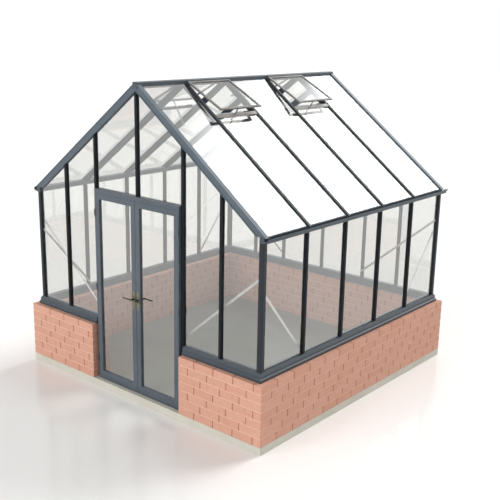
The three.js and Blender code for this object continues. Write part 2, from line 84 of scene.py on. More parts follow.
# Brickwork
WALL_T = 0.215
DOORWAY_JOINT = 0.005  # brick to the jamb post
COURSES = 7
JOINT = 0.010
COURSE_H = (WALL_HIGH[2] - WALL_LOW[2] + JOINT) / COURSES - JOINT
BRICK_PITCH = 0.2433  # one brick and its joint
RAKE = BRICK_PITCH / 3  # each course steps a third of a brick
BRICK_DEPTH = 0.1025
RETURN_DEPTH = 0.070  # thickness of the L-shaped corner bricks
ARRIS = 0.002  # worn edge of a brick
JOINT_RECESS = 0.003
SHORTEST_BRICK = 0.060
SHORTEST_RETURN = 0.085
FRONT_JOINT_X = 0.836  # a cross joint of the top course, right of the doorway
SIDE_JOINT_Y = -1.167  # and one on the long sides

# Screed between the walls
SCREED_T = 0.0026
SCREED_LIFT = 0.0002  # above the slab
SCREED_CUT = 0.0008

# Braces
BRACE_W = 0.025
BRACE_T = 0.003
BRACE_CUT = 0.0007
BRACE_CORNER = 0.030  # upper end to the outside of the house's corner
SIDE_BRACE_Z = (0.785, 1.52)  # foot and top on the long sides
GABLE_BRACE_Z = (0.83, 1.63)

# Roof vents: places down the slope from the ridge's middle, heights out of the roof's face
VENT_HALF_BAY = (BAY_LINES[1] - BAY_LINES[0]) / 2
VENT_SILL_S = 0.529  # lower edge of a vent opening
SILL_SECTION = [
    (VENT_SILL_S - 0.010, -0.034),
    (VENT_SILL_S - 0.006, -0.034),
    (VENT_SILL_S - 0.006, -0.008),
    (VENT_SILL_S + 0.034, -0.008),
    (VENT_SILL_S + 0.034, -0.0005),
    (VENT_SILL_S - 0.010, -0.0005),
]
SILL_GAP = 0.001  # sill to the bar beside it
OPENER_S, OPENER_N = VENT_SILL_S - 0.021, -0.012  # middle line of an opener
OPENER_TUBES = ((-0.225, -0.025), (0.020, 0.130))  # ends of its tubes, from the vent's middle
OPENER_R = 0.008
OPENER_TUBE_CUT = 0.002
OPENER_END_Y = 0.175  # middle of its black end
OPENER_END_R = 0.0095
OPENER_END_L = 0.09
OPENER_END_CUT = 0.003
GUIDE_PLACES = (-0.215, -0.030, 0.030, 0.215)
GUIDE_DROP = 0.014  # below the opener's middle line
GUIDE_SIZE = (0.020, 0.012, 0.006)
HINGE_BEAD_X = 0.0405
HINGE_BEAD_DROP = 0.012  # below the ridge's top
HINGE_BEAD_R = 0.0055

# Door furniture
PLATE_H = 0.190
PLATE_W = 0.042
PLATE_T = 0.003
PLATE_CUT = 0.001
PLATE_POINTS = 32
PLATE_DROP = 0.012  # its middle below the spindle
STILE_W = 0.058
SPINDLE_HOLE_R = 0.0105
LOCK_DROP = 0.075  # below the spindle
LOCK_R = 0.0085
LOCK_L = 0.008
LOCK_OUT = 0.002  # its middle out of the leaf's face
KNUCKLE_R = 0.005
KNUCKLE_L = 0.070
KNUCKLE_INSET = 0.20  # from the leaf's top and foot

# Gaskets, screws and gutter outlets
GASKET_W = 0.002
GASKET_T = 0.004
SCREWS_PER_BAR = 5
FIRST_SCREW_S = 0.12
LAST_SCREW_UP = 0.08  # from the eaves
SCREW_R = 0.0045
SCREW_H = 0.003
SCREW_LIFT = 0.001
SCREW_POINTS = 10
OUTLET_R = 0.012
OUTLET_IN = 0.028  # from the gutter's outer edge
OUTLET_UP = 0.034  # from the gutter's underside
OUTLET_SHORTER = 0.008  # than the step from the eaves beam's end to the wall's face
OUTLET_BACK = 0.003


# ---- Materials --------------------------------------------------------------------------------


def linear(code):
    """Linear colour, with alpha 1, of an sRGB hex value."""
    parts = np.array([int(code[i : i + 2], 16) for i in (0, 2, 4)]) / 255
    values = np.where(parts <= 0.04045, parts / 12.92, ((parts + 0.055) / 1.055) ** 2.4)
    return (*values.tolist(), 1.0)


def add(tree, kind, inputs=None, **settings):
    """Adds a shader node. Settings are its own properties; inputs gives sockets a value or a link."""
    made = tree.nodes.new("ShaderNode" + kind)
    for name, value in settings.items():
        setattr(made, name, value)
    for name, value in (inputs or {}).items():
        if isinstance(value, bpy.types.NodeSocket):
            tree.links.new(value, made.inputs[name])
        else:
            made.inputs[name].default_value = value
    return made


def new_material(name):
    """An empty node material and its tree."""
    made = bpy.data.materials.new(name)
    made.use_nodes = True
    made.node_tree.nodes.clear()
    return made, made.node_tree


def noise(tree, place, feature_mm, detail, roughness=0.5):
    """Cloudy pattern, 0 to 1, whose features are this many millimetres across."""
    inputs = {"Vector": place, "Scale": 1000 / feature_mm, "Detail": detail, "Roughness": roughness}
    return add(tree, "TexNoise", inputs).outputs["Fac"]


def remap(tree, value, old, new=(0.0, 1.0), **settings):
    """A value carried from one range to another."""
    ends = {"From Min": old[0], "From Max": old[1], "To Min": new[0], "To Max": new[1]}
    return add(tree, "MapRange", {"Value": value, **ends}, **settings).outputs["Result"]


def maths(tree, operation, first, second=0.0):
    """Result of a Math node."""
    return add(tree, "Math", {0: first, 1: second}, operation=operation).outputs["Value"]


def dented(tree, height, relief_mm, strength=0.5):
    """Normal of a surface that a pattern raises by up to relief_mm."""
    inputs = {"Strength": strength, "Distance": relief_mm / 1000, "Height": height}
    return add(tree, "Bump", inputs).outputs["Normal"]


PATCH_NOISE = {"detail": 4.0, "roughness": 0.6}
GRAIN_NOISE = {"detail": 3.0, "roughness": 0.65}
NOISE_SPAN = (0.3, 0.7)  # where nearly all of a noise's values lie
SUM_SPAN = (0.7, 1.3)  # and those of two noises added together
PIT_SPAN = (0.05, 0.3)  # distances, in cells, over which a pit rises to the surface
FIRING_SHARE = 0.3  # how much of a brick's shade is its own
MIX_A, MIX_B, MIXED = 6, 7, 2  # sockets of a Mix node that blends colours

WAVE_LENGTH_MM = 400  # slow waviness of a pane
WAVE_STRENGTH = 0.3
FILM_MM = 60  # and the thin film on it, which dulls its mirror image a little
FILM_SPAN = (0.4, 0.8)
FILM_ROUGHNESS = (0.0, 0.02)
MIRROR_TINT = "F4F6F6"


def mottled(
    name,
    colours,
    patch_mm,
    grain_mm,
    relief_mm,
    roughness,
    metallic=0.0,
    ior=1.5,
    tone=None,
    pits_mm=None,
):
    """A solid finish: two colours in soft patches, and a finer grain that tints, roughens and dents it.

    tone names a per-piece attribute that also shifts the colour; pits_mm adds small round pits.
    """
    made, tree = new_material(name)
    place = add(tree, "TexCoord").outputs["Object"]
    grain = noise(tree, place, grain_mm, **GRAIN_NOISE)
    blend = maths(tree, "ADD", noise(tree, place, patch_mm, **PATCH_NOISE), grain)
    blend = remap(tree, blend, SUM_SPAN)
    if tone:
        own = add(tree, "Attribute", attribute_name=tone).outputs["Fac"]
        blend = add(tree, "Mix", {"Factor": FIRING_SHARE, "A": blend, "B": own}).outputs["Result"]
    ramp = add(tree, "ValToRGB", {"Fac": blend})
    ramp.color_ramp.elements[0].color = linear(colours[0])
    ramp.color_ramp.elements[1].color = linear(colours[1])
    height = grain
    if pits_mm:
        cells = {"Vector": place, "Scale": 1000 / pits_mm}
        pits = add(tree, "TexVoronoi", cells).outputs["Distance"]
        height = maths(tree, "MULTIPLY", grain, remap(tree, pits, PIT_SPAN))
    inputs = {
        "Base Color": ramp.outputs["Color"],
        "Roughness": remap(tree, grain, NOISE_SPAN, roughness),
        "Metallic": metallic,
        "Normal": dented(tree, height, relief_mm),
    }
    if not metallic:
        inputs["IOR"] = ior
    shader = add(tree, "BsdfPrincipled", inputs).outputs["BSDF"]
    add(tree, "OutputMaterial", {"Surface": shader})
    return made


def float_glass(name, tint, mirror_ior, wave_mm):
    """A pane: clear through both faces, and mirroring by Fresnel's law at the face a ray enters by.

    mirror_ior is higher than the glass's own, so that one face reflects what a coated sheet does.
    """
    made, tree = new_material(name)
    place = add(tree, "TexCoord").outputs["Object"]
    bump = dented(tree, noise(tree, place, WAVE_LENGTH_MM, detail=1.0), wave_mm, WAVE_STRENGTH)
    rough = remap(tree, noise(tree, place, FILM_MM, detail=5.0), FILM_SPAN, FILM_ROUGHNESS)
    share = add(tree, "Fresnel", {"IOR": mirror_ior, "Normal": bump}).outputs["Fac"]
    inside = add(tree, "NewGeometry").outputs["Backfacing"]
    share = maths(tree, "MULTIPLY", share, maths(tree, "SUBTRACT", 1.0, inside))
    clear = add(tree, "BsdfTransparent", {"Color": linear(tint)}).outputs["BSDF"]
    inputs = {"Base Color": linear(MIRROR_TINT), "Metallic": 1.0, "Roughness": rough, "Normal": bump}
    gloss = add(tree, "BsdfPrincipled", inputs).outputs["BSDF"]
    pane = add(tree, "MixShader", {0: share, 1: clear, 2: gloss}).outputs["Shader"]
    add(tree, "OutputMaterial", {"Surface": pane})
    return made


def mortar_with_painted_joint_shade(name, bed_colour, cross_joint_shade, grain_mm, relief_mm, roughness):
    """Mortar whose bed joints are pale and whose cross joints are painted dark: a painted shade for the
    shadow that falls in them.

    A point is in a bed joint where its height above the wall's foot, divided by the course height,
    leaves a remainder above the brick's own share of a course.
    """
    made, tree = new_material(name)
    place = add(tree, "TexCoord").outputs["Object"]
    height = add(tree, "SeparateXYZ", {"Vector": place}).outputs["Z"]
    first_course = (WALL_LOW[2], WALL_LOW[2] + COURSE_H + JOINT)
    course = maths(tree, "FRACT", remap(tree, height, first_course, clamp=False))
    bed = maths(tree, "GREATER_THAN", course, COURSE_H / (COURSE_H + JOINT))
    # Cross joints take the painted shade colour, bed joints the mortar's own.
    colours = {MIX_A: linear(cross_joint_shade), MIX_B: linear(bed_colour), "Factor": bed}
    colour = add(tree, "Mix", colours, data_type="RGBA").outputs[MIXED]
    grain = noise(tree, place, grain_mm, detail=3.0)
    rough = remap(tree, grain, NOISE_SPAN, roughness)
    inputs = {"Base Color": colour, "Roughness": rough, "Normal": dented(tree, grain, relief_mm)}
    shader = add(tree, "BsdfPrincipled", inputs).outputs["BSDF"]
    add(tree, "OutputMaterial", {"Surface": shader})
    return made


# A mottled finish gives its two colours, then its patches, grain and relief in millimetres, then its
# lowest and highest roughness.

# Polyester powder coat on extruded aluminium: satin, with a fine orange peel that breaks up highlights.
anthracite_coat = mottled(
    "anthracite_powder_coated_aluminium", ("38424A", "454F57"), 260, 2.5, 0.06, (0.36, 0.48)
)
# The same coat painted a deeper shade on the corner posts and the roof bars: painted shade, darker than
# the coat really is.
shaded_anthracite_coat = mottled(
    "anthracite_powder_coat_painted_shade", ("1F252B", "2A3037"), 260, 2.5, 0.06, (0.42, 0.54), ior=1.4
)
# And painted lighter on the gable rafters: a painted reflection of the white floor that their faces
# mirror.
lit_anthracite_coat = mottled(
    "anthracite_powder_coat_painted_floor_reflection", ("46525C", "56626C"), 260, 2.5, 0.06, (0.36, 0.48)
)
# Black PVC capping strips over the glazing bars: duller and darker than the coat.
black_capping = mottled(
    "black_pvc_glazing_bar_capping", ("15191C", "20252A"), 180, 3.0, 0.05, (0.55, 0.7), ior=1.3
)
# Blue-grey powder coat of the doors, a shade lighter than the frame.
door_coat = mottled(
    "blue_grey_powder_coated_aluminium", ("464F58", "545D66"), 240, 2.5, 0.06, (0.34, 0.46)
)
# Mill-finish aluminium: bright, with a faint grey oxide bloom.
mill_aluminium = mottled(
    "mill_finish_aluminium", ("CBCDCD", "E2E4E4"), 90, 2.0, 0.03, (0.32, 0.5), metallic=1.0
)
# Bronze-anodised vent sections: brown-grey, with a soft metallic lustre.
bronze_anodised = mottled(
    "bronze_anodised_aluminium", ("6F6D6B", "84817E"), 120, 2.0, 0.03, (0.34, 0.46), metallic=0.6
)
# Zinc-plated steel stays: pale grey with a cloudy spangle.
zinc_steel = mottled(
    "zinc_plated_steel", ("85868A", "A3A5A8"), 14, 1.2, 0.03, (0.3, 0.5), metallic=1.0
)
# Aged brass furniture: olive-brown lacquer with brighter worn patches.
aged_brass = mottled(
    "aged_lacquered_brass", ("76735F", "8F8C76"), 18, 1.5, 0.05, (0.28, 0.48), metallic=0.9
)
# Dark lever handles of the same brass, tarnished by hands.
dark_brass = mottled(
    "tarnished_brass", ("3E392C", "5E5745"), 16, 1.5, 0.05, (0.3, 0.5), metallic=0.8
)
# EPDM rubber gaskets and the plastic ends of the openers: matt black.
black_rubber = mottled(
    "black_epdm_rubber", ("101112", "1B1C1D"), 30, 1.0, 0.05, (0.6, 0.75)
)
# Wire-cut clay bricks: salmon, each fired a little differently, sandy to look at.
clay_brick = mottled(
    "salmon_wirecut_clay_brick", ("CC947F", "D9AA95"), 38, 3.0, 0.9, (0.82, 0.95), tone="firing"
)
# Sand and lime mortar: paler than the brick in the beds, gritty; the cross joints are painted darker, a
# painted shade for the shadow in them.
mortar = mortar_with_painted_joint_shade("sand_lime_mortar", "E0B8A2", "A36E5A", 2.5, 0.8, (0.86, 0.97))
# Steel-floated concrete: pale grey-green with cement bloom and pinholes.
concrete = mottled(
    "floated_concrete", ("C3C0B3", "D6D3C8"), 320, 6.0, 0.7, (0.66, 0.86), pits_mm=24
)
# Screed inside the house: the same cement, painted darker: a painted shade for the dimmer light under
# the glass.
shaded_screed = mottled(
    "cement_screed_painted_shade", ("7B7C76", "8E8F89"), 280, 5.0, 0.5, (0.5, 0.75), pits_mm=30
)
# Coated horticultural glass: neutral and nearly clear, mirroring about a quarter of what faces it.
greenhouse_glass = float_glass("coated_horticultural_glass", "F8F8F7", 3.0, 0.05)

CAPPED_BARS = (
    "side_bar",
    "front_bar",
    "back_bar",
    "front_post",
    "back_post",
    "front_mullion",
    "back_mullion",
)
FINISHES = (
    (("glazing", "vent_pane", "door_pane"), greenhouse_glass),
    # The corner posts and roof bars take the coat with painted shade, the gable rafters the coat with a
    # painted reflection.
    (("corner_post", "rafter_pair"), shaded_anthracite_coat),
    (("front_gable_rafters", "back_gable_rafters"), lit_anthracite_coat),
    ("door_handle", dark_brass),
    (("door_leaf", "door_frame"), door_coat),
    ("vent_frame", bronze_anodised),
    ("vent_stay", zinc_steel),
    ("base_slab", concrete),
    ("brick_wall", clay_brick),
    (CAPPED_BARS, black_capping),
    ("", anthracite_coat),
)
for name, part in nodes.items():
    finish = next(material for starts, material in FINISHES if name.startswith(starts))
    for holder in part.material_slots:
        holder.material = finish


# ---- Surfaces ---------------------------------------------------------------------------------


def piece(name, points, faces, material, body, firing=None):
    """Puts points and faces in a mesh, turns its faces outwards, and lets it ride on a body."""
    mesh = bpy.data.meshes.new(name)
    mesh.from_pydata(np.asarray(points, float).reshape(-1, 3).tolist(), [], faces)
    work = bmesh.new()
    work.from_mesh(mesh)
    bmesh.ops.recalc_face_normals(work, faces=work.faces)
    work.to_mesh(mesh)
    work.free()
    if firing is not None:
        shade = mesh.attributes.new("firing", "FLOAT", "POINT")
        shade.data.foreach_set("value", np.asarray(firing, np.float32))
    mesh.materials.append(material)
    made = bpy.data.objects.new(name, mesh)
    bpy.context.scene.collection.objects.link(made)
    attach(made, body)
    return made


def ring_faces(count, levels, around):
    """Faces of closed solids that are stacks of rings: quads between rings, one face at each end."""
    start = np.arange(count)[:, None, None] * levels * around
    level = np.arange(levels - 1)[None, :, None] * around
    here = np.arange(around)[None, None, :]
    after = (here + 1) % around
    corners = [start + level + here, start + level + after]
    corners += [corners[1] + around, corners[0] + around]
    quads = np.stack(np.broadcast_arrays(*corners), -1).reshape(-1, 4)
    first = np.arange(count)[:, None] * levels * around + np.arange(around)[::-1][None, :]
    last = np.arange(count)[:, None] * levels * around + (levels - 1) * around
    last = last + np.arange(around)[None, :]
    return quads.tolist() + first.tolist() + last.tolist()


def solids(name, rings, material, body, firing=None):
    """Closed solids from rings of points, an array of (solids, rings, points round, 3)."""
    count, levels, around = rings.shape[:3]
    if firing is not None:
        firing = np.repeat(firing, levels * around)
    return piece(name, rings, ring_faces(count, levels, around), material, body, firing)


def cut_corners(half_u, half_v, cut):
    """Rectangle outline with its corners cut off at 45 degrees: (rectangles, 8, 2)."""
    u, v = np.asarray(half_u, float)[:, None], np.asarray(half_v, float)[:, None]
    along_u = np.array([1, 1, 1, -1, -1, -1, -1, 1])
    along_v = np.array([-1, 1, 1, 1, 1, -1, -1, -1])
    near_u = np.array([0, 0, 1, 1, 0, 0, 1, 1])
    near_v = 1 - near_u
    return np.stack([along_u * (u - near_u * cut), along_v * (v - near_v * cut)], -1)


def placed(outlines, heights, centres, axes):
    """Rings of (solids, rings, points, 3): outline in the first two axes, height along the third."""
    third = np.broadcast_to(heights[..., None, None], outlines.shape[:-1] + (1,))
    local = np.concatenate([outlines, third], -1)
    return np.einsum("nrpi,nij->nrpj", local, axes) + centres[:, None, None, :]


def blocks(centres, sizes, axes, cut=SMALL_CUT):
    """Boxes with cut edges: an outline with cut corners, smaller by the cut at both ends."""
    centres = np.atleast_2d(np.asarray(centres, float))
    count = len(centres)
    half = np.broadcast_to(np.asarray(sizes, float) / 2, (count, 3))
    axes = np.broadcast_to(np.asarray(axes, float), (count, 3, 3))
    whole = cut_corners(half[:, 0], half[:, 1], cut)
    small = cut_corners(half[:, 0] - cut, half[:, 1] - cut, cut / 2)
    outlines = np.stack([small, whole, whole, small], 1)
    heights = np.stack([-half[:, 2], cut - half[:, 2], half[:, 2] - cut, half[:, 2]], 1)
    return placed(outlines, heights, centres, axes)


def rounds(centres, radius, length, axes, cut=SMALL_CUT, around=16):
    """Round bars along the third axis, with a small chamfer at both ends."""
    centres = np.atleast_2d(np.asarray(centres, float))
    count = len(centres)
    radii, half = np.full(count, radius), np.full(count, length / 2)
    axes = np.broadcast_to(np.asarray(axes, float), (count, 3, 3))
    turn = np.arange(around) * 2 * np.pi / around
    circle = np.stack([np.cos(turn), np.sin(turn)], -1)
    ring_r = np.stack([radii - cut, radii, radii, radii - cut], 1)
    outlines = ring_r[..., None, None] * circle
    heights = np.stack([-half, cut - half, half - cut, half], 1)
    return placed(outlines, heights, centres, axes)


UPRIGHT = np.eye(3)
ALONG_Y = np.array([[1, 0, 0], [0, 0, -1], [0, 1, 0]], float)


def slope_axes(side, angle):
    """Axes of a slope falling at an angle to one side: down the slope, along the ridge, outwards."""
    down = [side * math.cos(angle), 0, -math.sin(angle)]
    out = [side * math.sin(angle), 0, math.cos(angle)]
    return np.array([down, [0, side, 0], out])


def on_slope(side, s, y, n):
    """Point s down the slope from the ridge's middle and n out of the roof's face, at place y."""
    axes = slope_axes(side, PITCH)
    return np.array([0, y, RIDGE_TOP]) + s * axes[0] + n * axes[2]


def between(start, end, face):
    """Axes of a bar from start to end: its width, its thickness along face, then its length."""
    along = np.subtract(end, start)
    along = along / np.linalg.norm(along)
    return np.array([np.cross(face, along), face, along])


# ---- Brick wall -------------------------------------------------------------------------------

COURSE_TOPS = WALL_HIGH[2] - np.arange(COURSES) * (COURSE_H + JOINT)


def cross_joints(course, first, low, high, low_end, high_end):
    """Middles of a course's cross joints between two ends, none nearer an end than its least brick."""
    phase = first - course * RAKE
    lowest, highest = math.floor((low - phase) / BRICK_PITCH), math.ceil((high - phase) / BRICK_PITCH)
    places = phase + np.arange(lowest, highest + 1) * BRICK_PITCH
    return places[(places > low + low_end) & (places < high - high_end)]


def run_bricks(first, low, high, low_return, high_return):
    """Ends of every brick in a run, course by course: rows of (course, low end, high end).

    Where an end is a corner of the house its last brick is left out, and where it starts is given.
    """
    rows, returns = [], {}
    for course in range(COURSES):
        low_end = SHORTEST_RETURN if low_return else SHORTEST_BRICK
        high_end = SHORTEST_RETURN if high_return else SHORTEST_BRICK
        places = cross_joints(course, first, low, high, low_end, high_end)
        starts = np.concatenate([[low], places + JOINT / 2])
        ends = np.concatenate([places - JOINT / 2, [high]])
        if low_return:
            returns[course, "low"] = ends[0]
            starts, ends = starts[1:], ends[1:]
        if high_return:
            returns[course, "high"] = starts[-1]
            starts, ends = starts[:-1], ends[:-1]
        rows.append(np.stack([np.full(len(starts), course), starts, ends], -1))
    return np.concatenate(rows), returns


def brick_blocks(rows, along, face, inward):
    """Boxes of a run's bricks: they lie along X or Y, from the face inwards by a brick's depth."""
    course = rows[:, 0].astype(int)
    count = len(rows)
    centres = np.zeros((count, 3))
    sizes = np.zeros((count, 3))
    centres[:, along] = (rows[:, 1] + rows[:, 2]) / 2
    sizes[:, along] = rows[:, 2] - rows[:, 1]
    centres[:, 1 - along] = face + inward * BRICK_DEPTH / 2
    sizes[:, 1 - along] = BRICK_DEPTH
    centres[:, 2] = COURSE_TOPS[course] - COURSE_H / 2
    sizes[:, 2] = COURSE_H
    return blocks(centres, sizes, UPRIGHT, ARRIS)


def return_bricks(corner_x, corner_y, ends_x, ends_y):
    """L-shaped corner bricks of all courses: a leg to each side of the corner, worn at both beds."""
    sx, sy = np.sign(corner_x), np.sign(corner_y)
    inner_x, inner_y = corner_x - sx * RETURN_DEPTH, corner_y - sy * RETURN_DEPTH

    def outline(shrink):
        out_x, out_y = corner_x - sx * shrink, corner_y - sy * shrink
        in_x, in_y = inner_x + sx * shrink, inner_y + sy * shrink
        end_x, end_y = ends_x + sx * shrink, ends_y + sy * shrink
        flat = np.ones(COURSES)
        xs = np.stack([out_x * flat, end_x, end_x, in_x * flat, in_x * flat, out_x * flat], -1)
        ys = np.stack([out_y * flat, out_y * flat, in_y * flat, in_y * flat, end_y, end_y], -1)
        return np.stack([xs, ys], -1)

    outlines = np.stack([outline(ARRIS), outline(0), outline(0), outline(ARRIS)], 1)
    base = COURSE_TOPS - COURSE_H
    heights = np.stack([base, base + ARRIS, COURSE_TOPS - ARRIS, COURSE_TOPS], 1)
    axes = np.broadcast_to(UPRIGHT, (COURSES, 3, 3))
    return placed(outlines, heights, np.zeros((COURSES, 3)), axes)


wall_x, wall_y = WALL_HIGH[0], WALL_HIGH[1]
inner_x, inner_y = wall_x - WALL_T, wall_y - WALL_T
doorway_x = JAMB_HIGH[0] + DOORWAY_JOINT
outer_runs = {
    "front_left": (0, -wall_y, 1, FRONT_JOINT_X, -wall_x, -doorway_x, True, False),
    "front_right": (0, -wall_y, 1, FRONT_JOINT_X, doorway_x, wall_x, False, True),
    "back": (0, wall_y, -1, -FRONT_JOINT_X, -wall_x, wall_x, True, True),
    "left": (1, -wall_x, 1, SIDE_JOINT_Y, -wall_y, wall_y, True, True),
    "right": (1, wall_x, -1, SIDE_JOINT_Y, -wall_y, wall_y, True, True),
}
inner_runs = (
    (0, -inner_y, -1, FRONT_JOINT_X, -inner_x, -doorway_x),
    (0, -inner_y, -1, FRONT_JOINT_X, doorway_x, inner_x),
    (0, inner_y, 1, -FRONT_JOINT_X, -inner_x, inner_x),
    (1, -inner_x, -1, SIDE_JOINT_Y, -inner_y - BRICK_DEPTH, inner_y + BRICK_DEPTH),
    (1, inner_x, 1, SIDE_JOINT_Y, -inner_y - BRICK_DEPTH, inner_y + BRICK_DEPTH),
)
brick_rings = []
leg = {}
for run, (along, face, inward, first, low, high, low_return, high_return) in outer_runs.items():
    rows, returns = run_bricks(first, low, high, low_return, high_return)
    brick_rings.append(brick_blocks(rows, along, face, inward))
    for (course, end), place in returns.items():
        leg[run, end, course] = place
for along, face, inward, first, low, high in inner_runs:
    rows, _ = run_bricks(first, low, high, False, False)
    brick_rings.append(brick_blocks(rows, along, face, inward))
all_bricks = np.concatenate(brick_rings)
firing = rng.random(len(all_bricks))
solids("clay_bricks", all_bricks, clay_brick, "house", firing)

CORNERS = (
    (-wall_x, -wall_y, ("front_left", "low"), ("left", "low")),
    (wall_x, -wall_y, ("front_right", "high"), ("right", "low")),
    (-wall_x, wall_y, ("back", "low"), ("left", "high")),
    (wall_x, wall_y, ("back", "high"), ("right", "high")),
)
corner_rings = []
for x, y, *runs in CORNERS:
    legs = [np.array([leg[(*run, course)] for course in range(COURSES)]) for run in runs]
    corner_rings.append(return_bricks(x, y, *legs))
corner_rings = np.concatenate(corner_rings)
firing = rng.random(len(corner_rings))
solids("clay_corner_bricks", corner_rings, clay_brick, "house", firing)

# The mortar is one core a little behind every brick face, so that it shows in the raked joints.
r = JOINT_RECESS
core_outline = np.array(
    [
        [doorway_x + r, r - wall_y],
        [wall_x - r, r - wall_y],
        [wall_x - r, wall_y - r],
        [r - wall_x, wall_y - r],
        [r - wall_x, r - wall_y],
        [-doorway_x - r, r - wall_y],
        [-doorway_x - r, -inner_y - r],
        [-inner_x - r, -inner_y - r],
        [-inner_x - r, inner_y + r],
        [inner_x + r, inner_y + r],
        [inner_x + r, -inner_y - r],
        [doorway_x + r, -inner_y - r],
    ]
)
core_rings = placed(
    np.stack([core_outline, core_outline])[None],
    np.array([[WALL_LOW[2], WALL_HIGH[2] - r / 2]]),
    np.zeros((1, 3)),
    UPRIGHT[None],
)
core = solids("mortar_core", core_rings, mortar, "house")
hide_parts("brick_wall")

screed_size = [2 * (inner_x - CLEARANCE), 2 * (inner_y - CLEARANCE), SCREED_T]
screed_middle = [0, 0, SLAB_TOP + SCREED_LIFT + SCREED_T / 2]
screed = blocks(screed_middle, screed_size, UPRIGHT, SCREED_CUT)
solids("room_screed", screed, shaded_screed, "house")


# ---- Braces -----------------------------------------------------------------------------------


def brace(x_y_top, x_y_foot, foot_and_top_z, face):
    """Flat bar from a high point to a low one, its thickness along face."""
    start = np.array([*x_y_top, foot_and_top_z[1]])
    end = np.array([*x_y_foot, foot_and_top_z[0]])
    size = [BRACE_W, BRACE_T, np.linalg.norm(end - start)]
    return blocks((start + end) / 2, size, between(start, end, face), BRACE_CUT)


brace_rings = []
side_face = BAR_LOW[0] - BRACE_T / 2 - CLEARANCE
gable_face = -GABLE_RAFTER_BACK - BRACE_T / 2 - CLEARANCE
for sx in (-1, 1):
    for sy in (-1, 1):
        x, y = sx * side_face, sy * gable_face
        top, foot = sy * (HALF_L - BRACE_CORNER), sy * abs(BAY_LINES[0])
        brace_rings.append(brace((x, top), (x, foot), SIDE_BRACE_Z, [1, 0, 0]))
        top, foot = sx * (HALF_W - BRACE_CORNER), sx * DOOR_POST_X
        brace_rings.append(brace((top, y), (foot, y), GABLE_BRACE_Z, [0, 1, 0]))
solids("wall_braces", np.concatenate(brace_rings), mill_aluminium, "house")


# ---- Vents ------------------------------------------------------------------------------------

vent_bays = [(BAY_LINES[0] + BAY_LINES[1]) / 2, (BAY_LINES[2] + BAY_LINES[3]) / 2]


def extruded(profile, side, y_low, y_high):
    """A section in slope axes (down the slope, out of the roof) drawn out along the ridge."""
    ends = [[on_slope(side, s, y, n) for s, n in profile] for y in (y_low, y_high)]
    return np.array(ends)[None]


half_sill = VENT_HALF_BAY - BAR_W / 2 - SILL_GAP
sills, tubes, black_ends, guides, hinge_beads = [], [], [], [], []
for side in (-1, 1):
    roof = slope_axes(side, PITCH)
    for middle in vent_bays:
        sills.append(extruded(SILL_SECTION, side, middle - half_sill, middle + half_sill))
        for start, end in OPENER_TUBES:
            place = on_slope(side, OPENER_S, middle + (start + end) / 2, OPENER_N)
            tubes.append(rounds(place, OPENER_R, end - start, ALONG_Y, OPENER_TUBE_CUT))
        place = on_slope(side, OPENER_S, middle + OPENER_END_Y, OPENER_N)
        black_ends.append(rounds(place, OPENER_END_R, OPENER_END_L, ALONG_Y, OPENER_END_CUT))
        for offset in GUIDE_PLACES:
            place = on_slope(side, OPENER_S, middle + offset, OPENER_N - GUIDE_DROP)
            guides.append(blocks(place, GUIDE_SIZE, roof))
        place = [side * HINGE_BEAD_X, middle, RIDGE_TOP - HINGE_BEAD_DROP]
        hinge_beads.append(rounds(place, HINGE_BEAD_R, 2 * half_sill, ALONG_Y))
solids("vent_sills", np.concatenate(sills), bronze_anodised, "house")
solids("vent_opener_tubes", np.concatenate(tubes), zinc_steel, "house")
solids("vent_opener_ends", np.concatenate(black_ends), black_rubber, "house")
solids("vent_stay_guides", np.concatenate(guides), anthracite_coat, "house")
solids("vent_hinge_beads", np.concatenate(hinge_beads), anthracite_coat, "house")


# ---- Door furniture ---------------------------------------------------------------------------


def slotted_plate(centre_x, face_y, outward, centre_z, hole_r):
    """Back plate with round ends and a hole: rings round the hole and round the rim, front and back.

    A rim point is the meeting of a ray from the centre with a rectangle whose ends are half discs.
    """
    turn = np.arange(PLATE_POINTS) * 2 * np.pi / PLATE_POINTS
    ray = np.stack([np.cos(turn), np.sin(turn)], -1)
    half_w, straight = PLATE_W / 2, PLATE_H / 2 - PLATE_W / 2
    to_side = half_w / np.maximum(np.abs(ray[:, 0]), 1e-9)
    lift = straight * np.abs(ray[:, 1])
    to_end = lift + np.sqrt(np.maximum(lift**2 - straight**2 + half_w**2, 0))
    reach = np.where(to_side * np.abs(ray[:, 1]) <= straight, to_side, to_end)
    rim, hole = ray * reach[:, None], ray * hole_r
    soft = rim * (1 - PLATE_CUT / np.linalg.norm(rim, axis=1, keepdims=True))
    front_y = face_y + outward * PLATE_T
    shoulder_y = front_y - outward * PLATE_CUT
    loops = [(hole, face_y), (rim, face_y), (rim, shoulder_y), (soft, front_y), (hole, front_y)]
    return np.stack(
        [
            np.stack([centre_x + flat[:, 0], np.full(PLATE_POINTS, y), centre_z + flat[:, 1]], -1)
            for flat, y in loops
        ]
    )


def closed_loops(rings):
    """Faces of a ring-shaped solid: its last loop joins its first."""
    levels, around = rings.shape[:2]
    level = np.arange(levels)[:, None] * around
    next_level = (np.arange(levels)[:, None] + 1) % levels * around
    here = np.arange(around)[None, :]
    after = (here + 1) % around
    quads = np.stack([level + here, level + after, next_level + after, next_level + here], -1)
    return quads.reshape(-1, 4).tolist()


